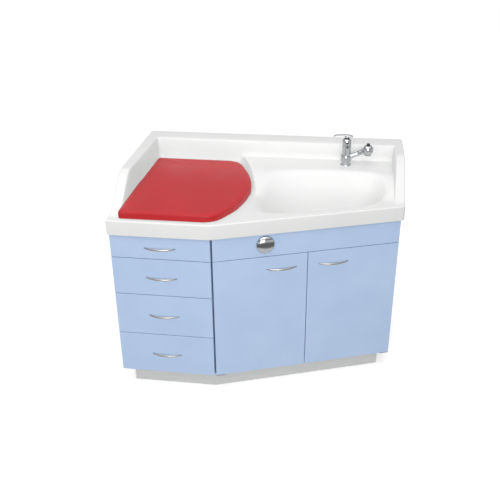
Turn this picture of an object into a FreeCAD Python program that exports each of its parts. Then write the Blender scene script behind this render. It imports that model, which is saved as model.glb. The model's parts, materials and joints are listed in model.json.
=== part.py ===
# Changing table with a bath.
# A moulded white top carries a changing place with a soft mat on the left and
# a bath with a tap on the right. Below it stand a drawer unit and a cupboard
# whose front turns back by twenty degrees, both on a recessed plinth.
#
# Millimetres. +X runs to the right along the wall, +Y points to the wall,
# +Z is up. The origin is the centre of the footprint at floor level.
import FreeCAD, Part
import math
import os
import Sketcher

Vector = FreeCAD.Vector
doc = FreeCAD.newDocument("changing_table")
sheet = doc.addObject("Spreadsheet::Sheet", "sizes")

SIZES = [
    # whole table
    ("overall_width", 1314),
    ("wall_y", 434),
    ("worktop_height", 900),
    ("face_angle", 20),
    # plan of the fronts: the corner where the straight run meets the angled run
    ("corner_x", -189),
    ("corner_y", -404),
    ("left_x", -650),
    ("right_x", 644),
    ("angled_run", 886.5),
    # worktop
    ("rim_x", -193),
    ("rim_y", -414),
    ("rim_height", 70),
    ("rim_shell", 40),
    ("skin", 12),
    ("splash_height", 140),
    ("ledge_depth", 103),
    ("side_wall", 38),
    ("deck_rise", 58),
    ("bath_depth", 158),
    ("waste_hole_radius", 24.5),
    ("tap_hole_radius", 17),
    # boards
    ("board", 18),
    ("front_board", 18),
    ("back_board", 8),
    ("front_air", 3),
    ("carcass_top", 830),
    ("plinth_height", 92),
    ("plinth_inset", 47),
    ("rail_depth", 80),
    ("shelf_level", 400),
    ("shelf_setback", 60),
    ("support_size", 12),
    ("wall_rail_height", 100),
    ("fixing_level", 776),
    ("fixing_spacing", 450),
    ("fixing_radius", 4),
    ("service_wide", 300),
    ("service_tall", 200),
    # fronts
    ("front_gap", 3),
    ("corner_air", 5),
    ("fronts_top", 826),
    ("fascia_line", 715),
    ("drawer_line_two", 526),
    ("drawer_line_three", 310),
    ("fronts_bottom", 94),
    # drawers
    ("drawer_depth", 590),
    ("runner_width", 12),
    ("runner_height", 30),
    ("box_wall", 2),
    # handles
    ("handle_span", 136),
    ("handle_rise", 25),
    ("handle_rod", 5),
    # door pivots
    ("pivot_in", 6),
    ("pivot_deep", 6),
    ("pivot_radius", 3),
    # tap
    ("tap_x", 378),
    ("tap_y", 250),
    ("tap_radius", 22),
    # bath waste
    ("waste_x", 285),
    ("waste_y", -20),
    ("knob_along", 244.5),
    ("knob_z", 779),
    ("knob_radius", 43),
    # mat
    ("mat_thickness", 39),
]
S = {}
for row, (alias, value) in enumerate(SIZES, 1):
    sheet.set("A%d" % row, alias)
    sheet.set("B%d" % row, str(value))
    sheet.setAlias("B%d" % row, alias)
    S[alias] = float(value)
doc.recompute()

TURN = math.radians(S["face_angle"])
UP = Vector(0, 0, 1)
NODES = []


def keep(name, piece):
    """Name a finished sub-part and put it on the list that is written out."""
    piece.Label = name
    NODES.append((name, piece))
    return piece


def place(piece, x, y, z, rotation=None):
    """Bind a piece's position to expressions."""
    if rotation is not None:
        piece.Placement = FreeCAD.Placement(Vector(0, 0, 0), rotation)
    for axis, text in (("x", x), ("y", y), ("z", z)):
        piece.setExpression("Placement.Base." + axis, str(text))
    return piece


def on_face(along, inward):
    """Expressions for a point of the angled run: along it, and in behind its face."""
    turn = "(sizes.face_angle * 1 deg)"
    x = "sizes.corner_x + (%s) * cos%s - (%s) * sin%s" % (along, turn, inward, turn)
    y = "sizes.corner_y + (%s) * sin%s + (%s) * cos%s" % (along, turn, inward, turn)
    return x, y


def face_point(along, inward):
    """The same point as numbers."""
    x = S["corner_x"] + along * math.cos(TURN) - inward * math.sin(TURN)
    y = S["corner_y"] + along * math.sin(TURN) + inward * math.cos(TURN)
    return x, y


def box(name, start, size, angled=False):
    """A board or block. Start is its low corner, size its three lengths."""
    piece = doc.addObject("Part::Box", name)
    for prop, text in zip(("Length", "Width", "Height"), size):
        piece.setExpression(prop, str(text))
    if angled:
        x, y = on_face(start[0], start[1])
        piece.Placement.Rotation = FreeCAD.Rotation(UP, S["face_angle"])
        piece.setExpression("Placement.Rotation.Angle", "sizes.face_angle")
        place(piece, x, y, start[2])
    else:
        place(piece, *start)
    return piece


def rod(name, start, radius, length, direction=UP):
    """A round bar from a start point along a direction."""
    piece = doc.addObject("Part::Cylinder", name)
    piece.setExpression("Radius", str(radius))
    piece.setExpression("Height", str(length))
    place(piece, start[0], start[1], start[2], FreeCAD.Rotation(UP, Vector(*direction)))
    return piece


def cut(name, base, *tools):
    """Take tools away from a base."""
    tool = tools[0]
    if len(tools) > 1:
        tool = fuse(name + "_tools", *tools)
    piece = doc.addObject("Part::Cut", name)
    piece.Base = base
    piece.Tool = tool
    return piece


def fuse(name, *pieces):
    """Join pieces that are made as one."""
    piece = doc.addObject("Part::MultiFuse", name)
    piece.Shapes = list(pieces)
    piece.Refine = True
    return piece


def common(name, one, other):
    """What two pieces share."""
    piece = doc.addObject("Part::MultiCommon", name)
    piece.Shapes = [one, other]
    return piece


def group(name, pieces):
    """Identical pieces kept under one name."""
    piece = doc.addObject("Part::Compound", name)
    piece.Links = pieces
    return piece


def eased(name, base, radius, edges=None):
    """Round the edges of a piece."""
    doc.recompute()
    count = len(base.Shape.Edges)
    piece = doc.addObject("Part::Fillet", name)
    piece.Base = base
    piece.Edges = [(i, radius, radius) for i in (edges or range(1, count + 1))]
    return piece


def edges_at_top(base, level):
    """Numbers of the edges that lie at one height."""
    doc.recompute()
    found = []
    for number, edge in enumerate(base.Shape.Edges, 1):
        bounds = edge.BoundBox
        if abs(bounds.ZMin - level) < 0.01 and abs(bounds.ZMax - level) < 0.01:
            found.append(number)
    return found


def rounded(corners):
    """Lines and arcs of a closed outline. Each corner is x, y and its radius."""
    parts = []
    ends = []
    count = len(corners)
    for i in range(count):
        before = Vector(corners[i - 1][0], corners[i - 1][1], 0)
        here = Vector(corners[i][0], corners[i][1], 0)
        after = Vector(corners[(i + 1) % count][0], corners[(i + 1) % count][1], 0)
        back = (before - here).normalize()
        ahead = (after - here).normalize()
        half = back.getAngle(ahead) / 2
        reach = corners[i][2] / math.tan(half)
        middle_way = (back + ahead).normalize()
        centre = here + middle_way * (corners[i][2] / math.sin(half))
        middle = centre - middle_way * corners[i][2]
        ends.append((here + back * reach, middle, here + ahead * reach))
    for i in range(count):
        start, middle, end = ends[i]
        parts.append(Part.Arc(start, middle, end))
        parts.append(Part.LineSegment(end, ends[(i + 1) % count][0]))
    return parts


def sketch(name, geometry, level, body=None):
    """A closed flat outline at one height."""
    if body is None:
        drawn = doc.addObject("Sketcher::SketchObject", name)
        drawn.Placement.Base = Vector(0, 0, level)
    else:
        drawn = body.newObject("Sketcher::SketchObject", name)
        plane = [f for f in body.Origin.OriginFeatures if f.Role == "XY_Plane"][0]
        drawn.AttachmentSupport = [(plane, "")]
        drawn.MapMode = "FlatFace"
        drawn.AttachmentOffset = FreeCAD.Placement(Vector(0, 0, level), FreeCAD.Rotation())
    drawn.addGeometry(geometry, False)
    for i in range(len(geometry)):
        nearest = (i + 1) % len(geometry)
        drawn.addConstraint(Sketcher.Constraint("Coincident", i, 2, nearest, 1))
    return drawn


def slab(name, geometry, level, height):
    """An outline raised to a height."""
    body = doc.addObject("PartDesign::Body", name)
    drawn = sketch(name + "_outline", geometry, level, body)
    pad = body.newObject("PartDesign::Pad", name + "_pad")
    pad.Profile = drawn
    pad.setExpression("Length", str(height))
    body.Tip = pad
    return body


def side_profile(name, points, start_x, width):
    """A side view outline of y and z points, carried along X."""
    body = doc.addObject("PartDesign::Body", name)
    drawn = body.newObject("Sketcher::SketchObject", name + "_outline")
    plane = [f for f in body.Origin.OriginFeatures if f.Role == "YZ_Plane"][0]
    drawn.AttachmentSupport = [(plane, "")]
    drawn.MapMode = "FlatFace"
    drawn.AttachmentOffset = FreeCAD.Placement(Vector(0, 0, start_x), FreeCAD.Rotation())
    drawn.addGeometry(points, False)
    for i in range(len(points)):
        drawn.addConstraint(Sketcher.Constraint("Coincident", i, 2, (i + 1) % len(points), 1))
    pad = body.newObject("PartDesign::Pad", name + "_pad")
    pad.Profile = drawn
    pad.setExpression("Length", str(width))
    body.Tip = pad
    return body


# ---------------------------------------------------------------- worktop
# One moulding: a hollow slab with a deep rim, a splash wall round three sides,
# a raised deck behind the bath for the tap, and the bath itself.
FAR = "2000"


def behind_rim(name, inset, low, height):
    """Everything behind the angled rim line, moved in by an inset."""
    turn = "(sizes.face_angle * 1 deg)"
    piece = doc.addObject("Part::Box", name)
    piece.setExpression("Length", FAR)
    piece.setExpression("Width", FAR)
    piece.setExpression("Height", str(height))
    piece.Placement.Rotation = FreeCAD.Rotation(UP, S["face_angle"])
    piece.setExpression("Placement.Rotation.Angle", "sizes.face_angle")
    x = "sizes.rim_x - 900 * cos%s - (%s) * sin%s" % (turn, inset, turn)
    y = "sizes.rim_y - 900 * sin%s + (%s) * cos%s" % (turn, inset, turn)
    return place(piece, x, y, low)


def rim_plan(name, inset, low, height):
    """The five-sided plan of the top, moved in by an inset."""
    wide = box(name + "_wide",
               ("-sizes.overall_width / 2 + (%s)" % inset, "sizes.rim_y + (%s)" % inset, low),
               ("sizes.overall_width - 2 * (%s)" % inset,
                "sizes.wall_y - sizes.rim_y - 2 * (%s)" % inset, height))
    return common(name, wide, behind_rim(name + "_turned", inset, low, height))


top_slab = rim_plan("top_slab", "0", "sizes.worktop_height - sizes.rim_height", "sizes.rim_height")
top_hollow = rim_plan("top_hollow", "sizes.rim_shell",
                      "sizes.worktop_height - sizes.rim_height - 1",
                      "sizes.rim_height - sizes.skin + 1")
ledge = box("ledge", ("-sizes.overall_width / 2", "sizes.wall_y - sizes.ledge_depth",
                      "sizes.worktop_height - 1"),
            ("sizes.overall_width", "sizes.ledge_depth", "sizes.splash_height + 1"))
ledge_hollow = box("ledge_hollow",
                   ("-sizes.overall_width / 2 + sizes.rim_shell",
                    "sizes.wall_y - sizes.ledge_depth + sizes.skin",
                    "sizes.worktop_height - sizes.rim_height - 1"),
                   ("sizes.overall_width - 2 * sizes.rim_shell",
                    "sizes.ledge_depth - 2 * sizes.skin",
                    "sizes.rim_height + sizes.splash_height - sizes.skin + 1"))


def splash_side(name, start_x, shoulder, foot):
    """A side wall: level at the back, then an S-shaped fall to the worktop."""
    base = S["worktop_height"]
    crown = base + S["splash_height"]
    middle_y = (shoulder + foot) / 2
    middle_z = (crown + base) / 2
    lean = (shoulder - foot) * 0.32
    fall = Part.BezierCurve()
    fall.setPoles([Vector(shoulder, crown, 0), Vector(shoulder - lean, crown, 0),
                   Vector(middle_y + lean * 0.3, middle_z + 18, 0), Vector(middle_y, middle_z, 0),
                   Vector(middle_y - lean * 0.3, middle_z - 18, 0), Vector(foot + lean, base, 0),
                   Vector(foot, base, 0)])
    back = S["wall_y"] - 1
    outline = [
        fall.toBSpline(),
        Part.LineSegment(Vector(foot, base, 0), Vector(foot, base - 1, 0)),
        Part.LineSegment(Vector(foot, base - 1, 0), Vector(back, base - 1, 0)),
        Part.LineSegment(Vector(back, base - 1, 0), Vector(back, crown, 0)),
        Part.LineSegment(Vector(back, crown, 0), Vector(shoulder, crown, 0)),
    ]
    return side_profile(name, outline, start_x, "sizes.side_wall")


HALF = S["overall_width"] / 2
splash_left = splash_side("splash_left", -HALF, -125, -395)
splash_right = splash_side("splash_right", HALF - S["side_wall"], 190, -100)

# The deck is level beside the wall and falls away towards the front.
LEVEL = S["worktop_height"]
DECK = LEVEL + S["deck_rise"]
deck_side = [
    Part.LineSegment(Vector(-70, LEVEL - 12, 0), Vector(-70, LEVEL, 0)),
    Part.LineSegment(Vector(-70, LEVEL, 0), Vector(150, DECK, 0)),
    Part.LineSegment(Vector(150, DECK, 0), Vector(400, DECK, 0)),
    Part.LineSegment(Vector(400, DECK, 0), Vector(400, LEVEL - 12, 0)),
    Part.LineSegment(Vector(400, LEVEL - 12, 0), Vector(-70, LEVEL - 12, 0)),
]
deck_body = side_profile("deck_body", deck_side, -250, "%s" % (250 + HALF - 10))
deck_edge = Part.BSplineCurve()
deck_edge.interpolate([Vector(-205, 340, 0), Vector(-160, 318, 0), Vector(-135, 274, 0),
                       Vector(-84, 124, 0), Vector(-50, 10, 0), Vector(-30, -75, 0)])
deck_plan = slab("deck_plan", [
    deck_edge,
    Part.LineSegment(Vector(-30, -75, 0), Vector(HALF - 10, -75, 0)),
    Part.LineSegment(Vector(HALF - 10, -75, 0), Vector(HALF - 10, 340, 0)),
    Part.LineSegment(Vector(HALF - 10, 340, 0), Vector(-205, 340, 0)),
], LEVEL - 20, "sizes.deck_rise + 40")
deck = common("deck", deck_body, deck_plan)
deck_hollow = box("deck_hollow",
                  (-80, 192, "sizes.worktop_height - 40"),
                  (695, "sizes.wall_y - sizes.ledge_depth - 192 + 20",
                   "sizes.deck_rise + 40 - sizes.skin"))


def bath_outline(inset):
    """The bath's outline, moved in by an inset: straight back and right side, a
    front that follows the angled rim, and large corners."""
    left, right, back, margin = -32, 592, 168, 50
    front = margin + inset
    near = []
    for x in (left + inset, right - inset):
        along = x - S["rim_x"]
        near.append(S["rim_y"] + along * math.tan(TURN) + front / math.cos(TURN))
    return rounded([
        (left + inset, near[0], max(20, 120 - inset * 0.5)),
        (right - inset, near[1], max(20, 90 - inset * 0.77)),
        (right - inset, back - inset, max(20, 95 - inset * 0.65)),
        (left + inset, back - inset, max(20, 130 - inset * 0.5)),
    ])


def bowl(name, grow, drop):
    """A bowl as a loft from a small floor up to the mouth at worktop level."""
    depth = S["bath_depth"]
    rings = []
    for number, (inset, height) in enumerate(((84, -depth), (28, -0.62 * depth), (2, 0))):
        level = LEVEL + height - (drop if height < 0 else 0)
        rings.append(sketch("%s_ring_%d" % (name, number), bath_outline(inset - grow), level))
    loft = doc.addObject("Part::Loft", name)
    loft.Sections = rings
    loft.Solid = True
    loft.Ruled = False
    return loft


bath_inside = bowl("bath_inside", 0, 0)
bath_outside = bowl("bath_outside", S["skin"], S["skin"])
bath_mouth = slab("bath_mouth", bath_outline(2), LEVEL - 0.5, "sizes.splash_height + 10")
waste_hole = rod("waste_hole", ("sizes.waste_x", "sizes.waste_y", 600),
                 "sizes.waste_hole_radius", 200)
tap_hole = rod("tap_hole", ("sizes.tap_x", "sizes.tap_y", "sizes.worktop_height"),
               "sizes.tap_hole_radius", 100)
top_shell = cut("top_shell", fuse("top_solid", top_slab, ledge, splash_left, splash_right, deck),
                top_hollow, ledge_hollow, deck_hollow)
worktop = cut("worktop", fuse("top_with_bath", top_shell, bath_outside),
              bath_inside, bath_mouth, waste_hole, tap_hole)
keep("worktop", worktop)

# ---------------------------------------------------------------- carcasses
CARCASS = "sizes.carcass_top - sizes.plinth_height"
FRONT_EDGE = "sizes.corner_y + sizes.front_board + sizes.front_air"
REAR = "sizes.wall_y - 4"
BACK_INSIDE = "sizes.wall_y - 4 - sizes.back_board"
SPLIT = "sizes.corner_x - sizes.corner_air"
INSIDE_DEPTH = "%s - (%s)" % (BACK_INSIDE, FRONT_EDGE)
DRAWER_LEFT = "sizes.left_x + sizes.board"
DRAWER_WIDE = "sizes.corner_x - sizes.corner_air - sizes.left_x - 2 * sizes.board"


def behind_front(name, inset, low, height):
    """Everything further in than the angled fronts by an inset."""
    return box(name, ("-900", inset, low), (FAR, FAR, height), angled=True)


keep("side_left", box("side_left", ("sizes.left_x", FRONT_EDGE, "sizes.plinth_height"),
                      ("sizes.board", "%s - (%s)" % (REAR, FRONT_EDGE), CARCASS)))
keep("drawer_unit_side", box("drawer_unit_side",
                             (SPLIT + " - sizes.board", FRONT_EDGE, "sizes.plinth_height"),
                             ("sizes.board", "%s - (%s)" % (REAR, FRONT_EDGE), CARCASS)))
keep("drawer_unit_bottom", box("drawer_unit_bottom",
                               (DRAWER_LEFT, FRONT_EDGE, "sizes.plinth_height"),
                               (DRAWER_WIDE, INSIDE_DEPTH, "sizes.board")))
keep("drawer_unit_back", box("drawer_unit_back",
                             (DRAWER_LEFT, BACK_INSIDE, "sizes.plinth_height"),
                             (DRAWER_WIDE, "sizes.back_board", CARCASS)))
keep("drawer_unit_rails", group("drawer_unit_rails", [
    box("drawer_unit_rail_front", (DRAWER_LEFT, FRONT_EDGE, "sizes.carcass_top - sizes.board"),
        (DRAWER_WIDE, "sizes.rail_depth", "sizes.board")),
    box("drawer_unit_rail_rear", (DRAWER_LEFT, BACK_INSIDE + " - sizes.rail_depth",
                                  "sizes.carcass_top - sizes.board"),
        (DRAWER_WIDE, "sizes.rail_depth", "sizes.board")),
]))

CUP_LEFT = SPLIT + " + sizes.board"
CUP_WIDE = "sizes.right_x - sizes.corner_x + sizes.corner_air - 2 * sizes.board"
keep("cupboard_left_side", box("cupboard_left_side",
                               (SPLIT, FRONT_EDGE + " + 7", "sizes.plinth_height"),
                               ("sizes.board", "%s - (%s) - 7" % (REAR, FRONT_EDGE), CARCASS)))
keep("cupboard_right_side", common(
    "cupboard_right_side",
    box("cupboard_right_board", ("sizes.right_x - sizes.board", -600, "sizes.plinth_height"),
        ("sizes.board", REAR + " + 600", CARCASS)),
    behind_front("cupboard_right_line", "sizes.front_board + sizes.front_air",
                 "sizes.plinth_height", CARCASS)))
keep("cupboard_bottom", common(
    "cupboard_bottom",
    box("cupboard_bottom_board", (CUP_LEFT, FRONT_EDGE + " + 7", "sizes.plinth_height"),
        (CUP_WIDE, "%s - (%s) - 7" % (BACK_INSIDE, FRONT_EDGE), "sizes.board")),
    behind_front("cupboard_bottom_line", "sizes.front_board + sizes.front_air",
                 "sizes.plinth_height", "sizes.board")))
service_opening = box("service_opening", (150, 400, 480),
                      ("sizes.service_wide", 100, "sizes.service_tall"))


def fixing_holes(name):
    """The two holes that take the wall screws."""
    return [rod("%s_%d" % (name, i), (x, 380, "sizes.fixing_level"), "sizes.fixing_radius", 80,
                (0, 1, 0)) for i, x in enumerate((0, "sizes.fixing_spacing"))]


keep("cupboard_back", cut(
    "cupboard_back",
    box("cupboard_back_board", (CUP_LEFT, BACK_INSIDE, "sizes.plinth_height"),
        (CUP_WIDE, "sizes.back_board", CARCASS)),
    service_opening, *fixing_holes("back_hole")))
keep("wall_rail", cut(
    "wall_rail",
    box("wall_rail_board", (CUP_LEFT, BACK_INSIDE + " - sizes.board",
                            "sizes.carcass_top - sizes.wall_rail_height"),
        (CUP_WIDE, "sizes.board", "sizes.wall_rail_height")),
    *fixing_holes("rail_hole")))
keep("shelf", common(
    "shelf",
    box("shelf_board", (CUP_LEFT + " + 1", FRONT_EDGE, "sizes.shelf_level"),
        (CUP_WIDE + " - 2", "%s - (%s) - 4" % (BACK_INSIDE, FRONT_EDGE), "sizes.board")),
    behind_front("shelf_line", "sizes.shelf_setback", "sizes.shelf_level", "sizes.board")))
supports = []
RIGHT_SUPPORT = "sizes.right_x - sizes.board - sizes.support_size"
for number, (x, y) in enumerate(((CUP_LEFT, -280), (CUP_LEFT, 340),
                                 (RIGHT_SUPPORT, 20), (RIGHT_SUPPORT, 340))):
    supports.append(box("shelf_support_%d" % number,
                        (x, y, "sizes.shelf_level - sizes.support_size"),
                        ("sizes.support_size", 30, "sizes.support_size")))
keep("shelf_supports", group("shelf_supports", supports))

# The fixed fascia hides the bath and carries its waste control.
fascia_start = "sizes.corner_air"
fascia_run = "sizes.angled_run - sizes.corner_air"
fascia_board = eased("fascia_board", box(
    "fascia_blank", (fascia_start, 0, "sizes.fascia_line + sizes.front_gap / 2"),
    (fascia_run, "sizes.front_board",
     "sizes.fronts_top - sizes.fascia_line - sizes.front_gap / 2"), angled=True), 1.2)
knob_way = (math.sin(TURN), -math.cos(TURN), 0)


def knob_rod(name, inward, radius, length):
    """A round bar on the waste control's axis, from an inward depth outwards."""
    x, y = on_face("sizes.knob_along", inward)
    return rod(name, (x, y, "sizes.knob_z"), radius, length, knob_way)


keep("fascia", cut("fascia", fascia_board, knob_rod("fascia_hole", 30, 9, 60)))
keep("fascia_rail", common(
    "fascia_rail",
    box("fascia_rail_board", (-40, "sizes.front_board", "sizes.fascia_line + sizes.front_gap / 2"),
        (980, 32, "sizes.board"), angled=True),
    box("fascia_rail_room", (CUP_LEFT, -500, 600), (CUP_WIDE, 1000, 200))))
keep("corner_filler", box("corner_filler", (SPLIT + " + 0.5", FRONT_EDGE + " + 3",
                                            "sizes.plinth_height"),
                          (8, 4, CARCASS)))

# ---------------------------------------------------------------- plinth
PLINTH_LEFT = "sizes.left_x + 45"
PLINTH_RIGHT = "sizes.right_x - 53"
PLINTH_FRONT = "sizes.corner_y + sizes.plinth_inset"
mitre_x = S["corner_x"] - S["plinth_inset"] * (1 - math.cos(TURN)) / math.sin(TURN)
keep("plinth_front", box("plinth_front", (PLINTH_LEFT, PLINTH_FRONT, 0),
                         ("%s - (%s)" % (mitre_x, PLINTH_LEFT), "sizes.board",
                          "sizes.plinth_height")))
keep("plinth_angled", common(
    "plinth_angled",
    box("plinth_angled_board", (-60, "sizes.plinth_inset", 0),
        (1100, "sizes.board", "sizes.plinth_height"), angled=True),
    box("plinth_angled_room", (mitre_x, -500, 0),
        ("%s - (%s)" % (PLINTH_RIGHT, mitre_x), 1000, "sizes.plinth_height"))))
keep("plinth_left", box("plinth_left", (PLINTH_LEFT, PLINTH_FRONT + " + sizes.board", 0),
                        ("sizes.board", "sizes.wall_y - 14 - (%s) - sizes.board" % PLINTH_FRONT,
                         "sizes.plinth_height")))
keep("plinth_right", box("plinth_right", (PLINTH_RIGHT + " - sizes.board", -48, 0),
                         ("sizes.board", "sizes.wall_y - 14 + 48", "sizes.plinth_height")))
keep("plinth_back", box("plinth_back",
                        (PLINTH_LEFT + " + sizes.board", "sizes.wall_y - 14 - sizes.board", 0),
                        ("%s - (%s) - 2 * sizes.board" % (PLINTH_RIGHT, PLINTH_LEFT),
                         "sizes.board", "sizes.plinth_height")))


# ---------------------------------------------------------------- handles
def bow_handle(name, x, y, z, turn_text):
    """A bent rod standing on a front, its two ends flat against the face."""
    ring = doc.addObject("Part::Torus", name + "_ring")
    radius = "(sizes.handle_span ^ 2 / 4 + sizes.handle_rise ^ 2) / (2 * sizes.handle_rise)"
    ring.setExpression("Radius1", radius)
    ring.setExpression("Radius2", "sizes.handle_rod")
    ring.Angle1 = -180
    ring.Angle2 = 180
    ring.Angle3 = 120
    inward = radius + " - sizes.handle_rise"
    ring.Placement.Rotation = FreeCAD.Rotation(UP, 210 + S["face_angle"])
    ring.setExpression("Placement.Rotation.Angle", "210 + " + turn_text)
    turn = "((%s) * 1 deg)" % turn_text
    place(ring, "%s - (%s) * sin%s" % (x, inward, turn),
          "%s + (%s) * cos%s" % (y, inward, turn), z)
    behind = doc.addObject("Part::Box", name + "_behind")
    behind.Length = 320
    behind.Width = 200
    behind.Height = 40
    behind.Placement.Rotation = FreeCAD.Rotation(UP, S["face_angle"])
    behind.setExpression("Placement.Rotation.Angle", turn_text)
    place(behind, "%s - 160 * cos%s" % (x, turn), "%s - 160 * sin%s" % (y, turn),
          "%s - 20" % z)
    return cut(name, ring, behind)


# ---------------------------------------------------------------- drawers
DRAWERS = [
    ("drawer_1", "sizes.fascia_line", "sizes.fronts_top + sizes.front_gap / 2", 14, 22),
    ("drawer_2", "sizes.drawer_line_two", "sizes.fascia_line", 14, 36),
    ("drawer_3", "sizes.drawer_line_three", "sizes.drawer_line_two", 14, 46),
    ("drawer_4", "sizes.fronts_bottom - sizes.front_gap / 2", "sizes.drawer_line_three", 26, 46),
]
FRONT_WIDE = "sizes.corner_x - sizes.corner_air - sizes.left_x"
BOX_LEFT = DRAWER_LEFT + " + sizes.runner_width + 1"
BOX_WIDE = DRAWER_WIDE + " - 2 * sizes.runner_width - 2"
BOX_FRONT = "sizes.corner_y + sizes.front_board"
runners = []
for name, low, high, lift, head in DRAWERS:
    bottom = "%s + sizes.front_gap / 2" % low
    height = "%s - (%s) - sizes.front_gap" % (high, low)
    front = eased(name + "_front", box(name + "_front_blank",
                                       ("sizes.left_x", "sizes.corner_y", bottom),
                                       (FRONT_WIDE, "sizes.front_board", height)), 1.2)
    keep(name + "_front", front)
    floor = "%s + %s" % (bottom, lift)
    tall = "%s - %s - %s" % (height, lift, head)
    outer = box(name + "_outer", (BOX_LEFT, BOX_FRONT, floor),
                (BOX_WIDE, "sizes.drawer_depth", tall))
    inner = box(name + "_inner", (BOX_LEFT + " + sizes.box_wall", BOX_FRONT + " + sizes.box_wall",
                                  floor + " + sizes.box_wall"),
                (BOX_WIDE + " - 2 * sizes.box_wall", "sizes.drawer_depth - 2 * sizes.box_wall",
                 tall))
    tray = cut(name + "_tray", outer, inner)
    slides = []
    for side in ("left", "right"):
        slide_x = BOX_LEFT + " - 7"
        channel_x = DRAWER_LEFT
        slot_x = DRAWER_LEFT + " + 4"
        if side == "right":
            slide_x = "%s + %s - 0.5" % (BOX_LEFT, BOX_WIDE)
            channel_x = "%s + %s - sizes.runner_width" % (DRAWER_LEFT, DRAWER_WIDE)
            slot_x = channel_x + " - 1"
        slides.append(box("%s_slide_%s" % (name, side),
                          (slide_x, BOX_FRONT + " + 6", floor + " + 12.5"),
                          (7.5, "sizes.drawer_depth - 8", 10)))
        channel = box("%s_channel_%s" % (name, side),
                      (channel_x, FRONT_EDGE + " + 3", floor + " + 2"),
                      ("sizes.runner_width", "sizes.drawer_depth", "sizes.runner_height"))
        slot = box("%s_slot_%s" % (name, side),
                   (slot_x, FRONT_EDGE + " - 3", floor + " + 12"),
                   (9, "sizes.drawer_depth + 12", 11))
        runners.append(cut("%s_runner_%s" % (name, side), channel, slot))
    keep(name + "_box", fuse(name + "_box", tray, *slides))
    keep(name + "_handle", bow_handle(name + "_handle",
                                      "(sizes.left_x + (%s) / 2)" % FRONT_WIDE,
                                      "sizes.corner_y",
                                      "((%s + %s) / 2)" % (low, high), "0"))
keep("drawer_runners", group("drawer_runners", runners))

# ---------------------------------------------------------------- doors
DOOR_RUN = "((sizes.angled_run - sizes.corner_air - sizes.front_gap) / 2)"
DOOR_LOW = "sizes.fronts_bottom"
DOOR_TALL = "(sizes.fascia_line - sizes.front_gap / 2 - sizes.fronts_bottom)"
DOORS = [
    ("door_left", "sizes.corner_air", "(sizes.corner_air + sizes.pivot_in)",
     "(sizes.corner_air + %s * 0.728)" % DOOR_RUN, 1),
    ("door_right", "(sizes.angled_run - %s)" % DOOR_RUN,
     "(sizes.angled_run - sizes.pivot_in)",
     "(sizes.angled_run - %s * 0.716)" % DOOR_RUN, -1),
]
# Each pivot plate is an L: an arm from the pin along the front, and a tab that runs
# back under the rail or the bottom board to its screw.
PLATE_EDGE = 5.5
PLATE_REACH = 39
PLATE_TAB = 23
PLATE_WIDE = 11
PLATE_DEEP = 42
PLATE_THICK = 2
SCREW_REACH = 31
plates_top = []
plates_bottom = []
screws = []
for name, start, axis, handle_at, way in DOORS:
    blank = eased(name + "_board", box(name + "_blank", (start, 0, DOOR_LOW),
                                       (DOOR_RUN, "sizes.front_board", DOOR_TALL),
                                       angled=True), 1.2)
    axis_x, axis_y = on_face(axis, "sizes.pivot_deep")
    top_bore = rod(name + "_bore_top", (axis_x, axis_y, "sizes.fascia_line - 14"),
                   "sizes.pivot_radius + 0.05", 20)
    low_bore = rod(name + "_bore_low", (axis_x, axis_y, "sizes.fronts_bottom - 8"),
                   "sizes.pivot_radius + 0.05", 20)
    keep(name, cut(name, blank, top_bore, low_bore))
    centre_x, centre_y = on_face(handle_at, 0)
    keep(name + "_handle", bow_handle(name + "_handle", "(%s)" % centre_x, "(%s)" % centre_y,
                                      "(sizes.fascia_line - 66)", "sizes.face_angle"))
    for place_name, level, pin_from, plates in (
            ("top", "sizes.fascia_line + sizes.front_gap / 2 - 2", "sizes.fascia_line - 11",
             plates_top),
            ("low", "sizes.plinth_height - 2", "sizes.plinth_height - 1", plates_bottom)):
        ends = []
        for part_name, near_end, far_end, deep in (("arm", -PLATE_EDGE, PLATE_REACH, PLATE_WIDE),
                                                   ("tab", PLATE_TAB, PLATE_REACH, PLATE_DEEP)):
            low_end = near_end if way > 0 else -far_end
            ends.append(box("%s_%s_%s" % (name, part_name, place_name),
                            ("%s + (%s)" % (axis, low_end), 1.5, level),
                            (far_end - near_end, deep, PLATE_THICK), angled=True))
        plate = fuse("%s_plate_%s" % (name, place_name), *ends)
        pin_length = 11.5 if place_name == "top" else 13
        pin = rod("%s_pin_%s" % (name, place_name), (axis_x, axis_y, pin_from),
                  "sizes.pivot_radius", pin_length)
        plates.append(fuse("%s_pivot_%s" % (name, place_name), plate, pin))
        hold_x, hold_y = on_face("%s + (%s)" % (axis, way * SCREW_REACH), 34)
        base = "sizes.fascia_line + sizes.front_gap / 2 - 3.5"
        if place_name == "low":
            base = "sizes.plinth_height - 3.5"
        head = rod("%s_head_%s" % (name, place_name), (hold_x, hold_y, base), 3.5, 2)
        shaft = rod("%s_shaft_%s" % (name, place_name), (hold_x, hold_y, base), 1.75, 14)
        screws.append(fuse("%s_screw_%s" % (name, place_name), head, shaft))
keep("pivot_brackets_top", group("pivot_brackets_top", plates_top))
keep("pivot_brackets_bottom", group("pivot_brackets_bottom", plates_bottom))
keep("pivot_screws", group("pivot_screws", screws))

# ---------------------------------------------------------------- tap
DECK_TOP = "(sizes.worktop_height + sizes.deck_rise)"
TAP = ("sizes.tap_x", "sizes.tap_y")


def tap_rod(name, low, radius, length):
    """A round part of the tap on its upright axis, from a height above the deck."""
    return rod(name, TAP + ("%s + %s" % (DECK_TOP, low),), radius, length)


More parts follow.
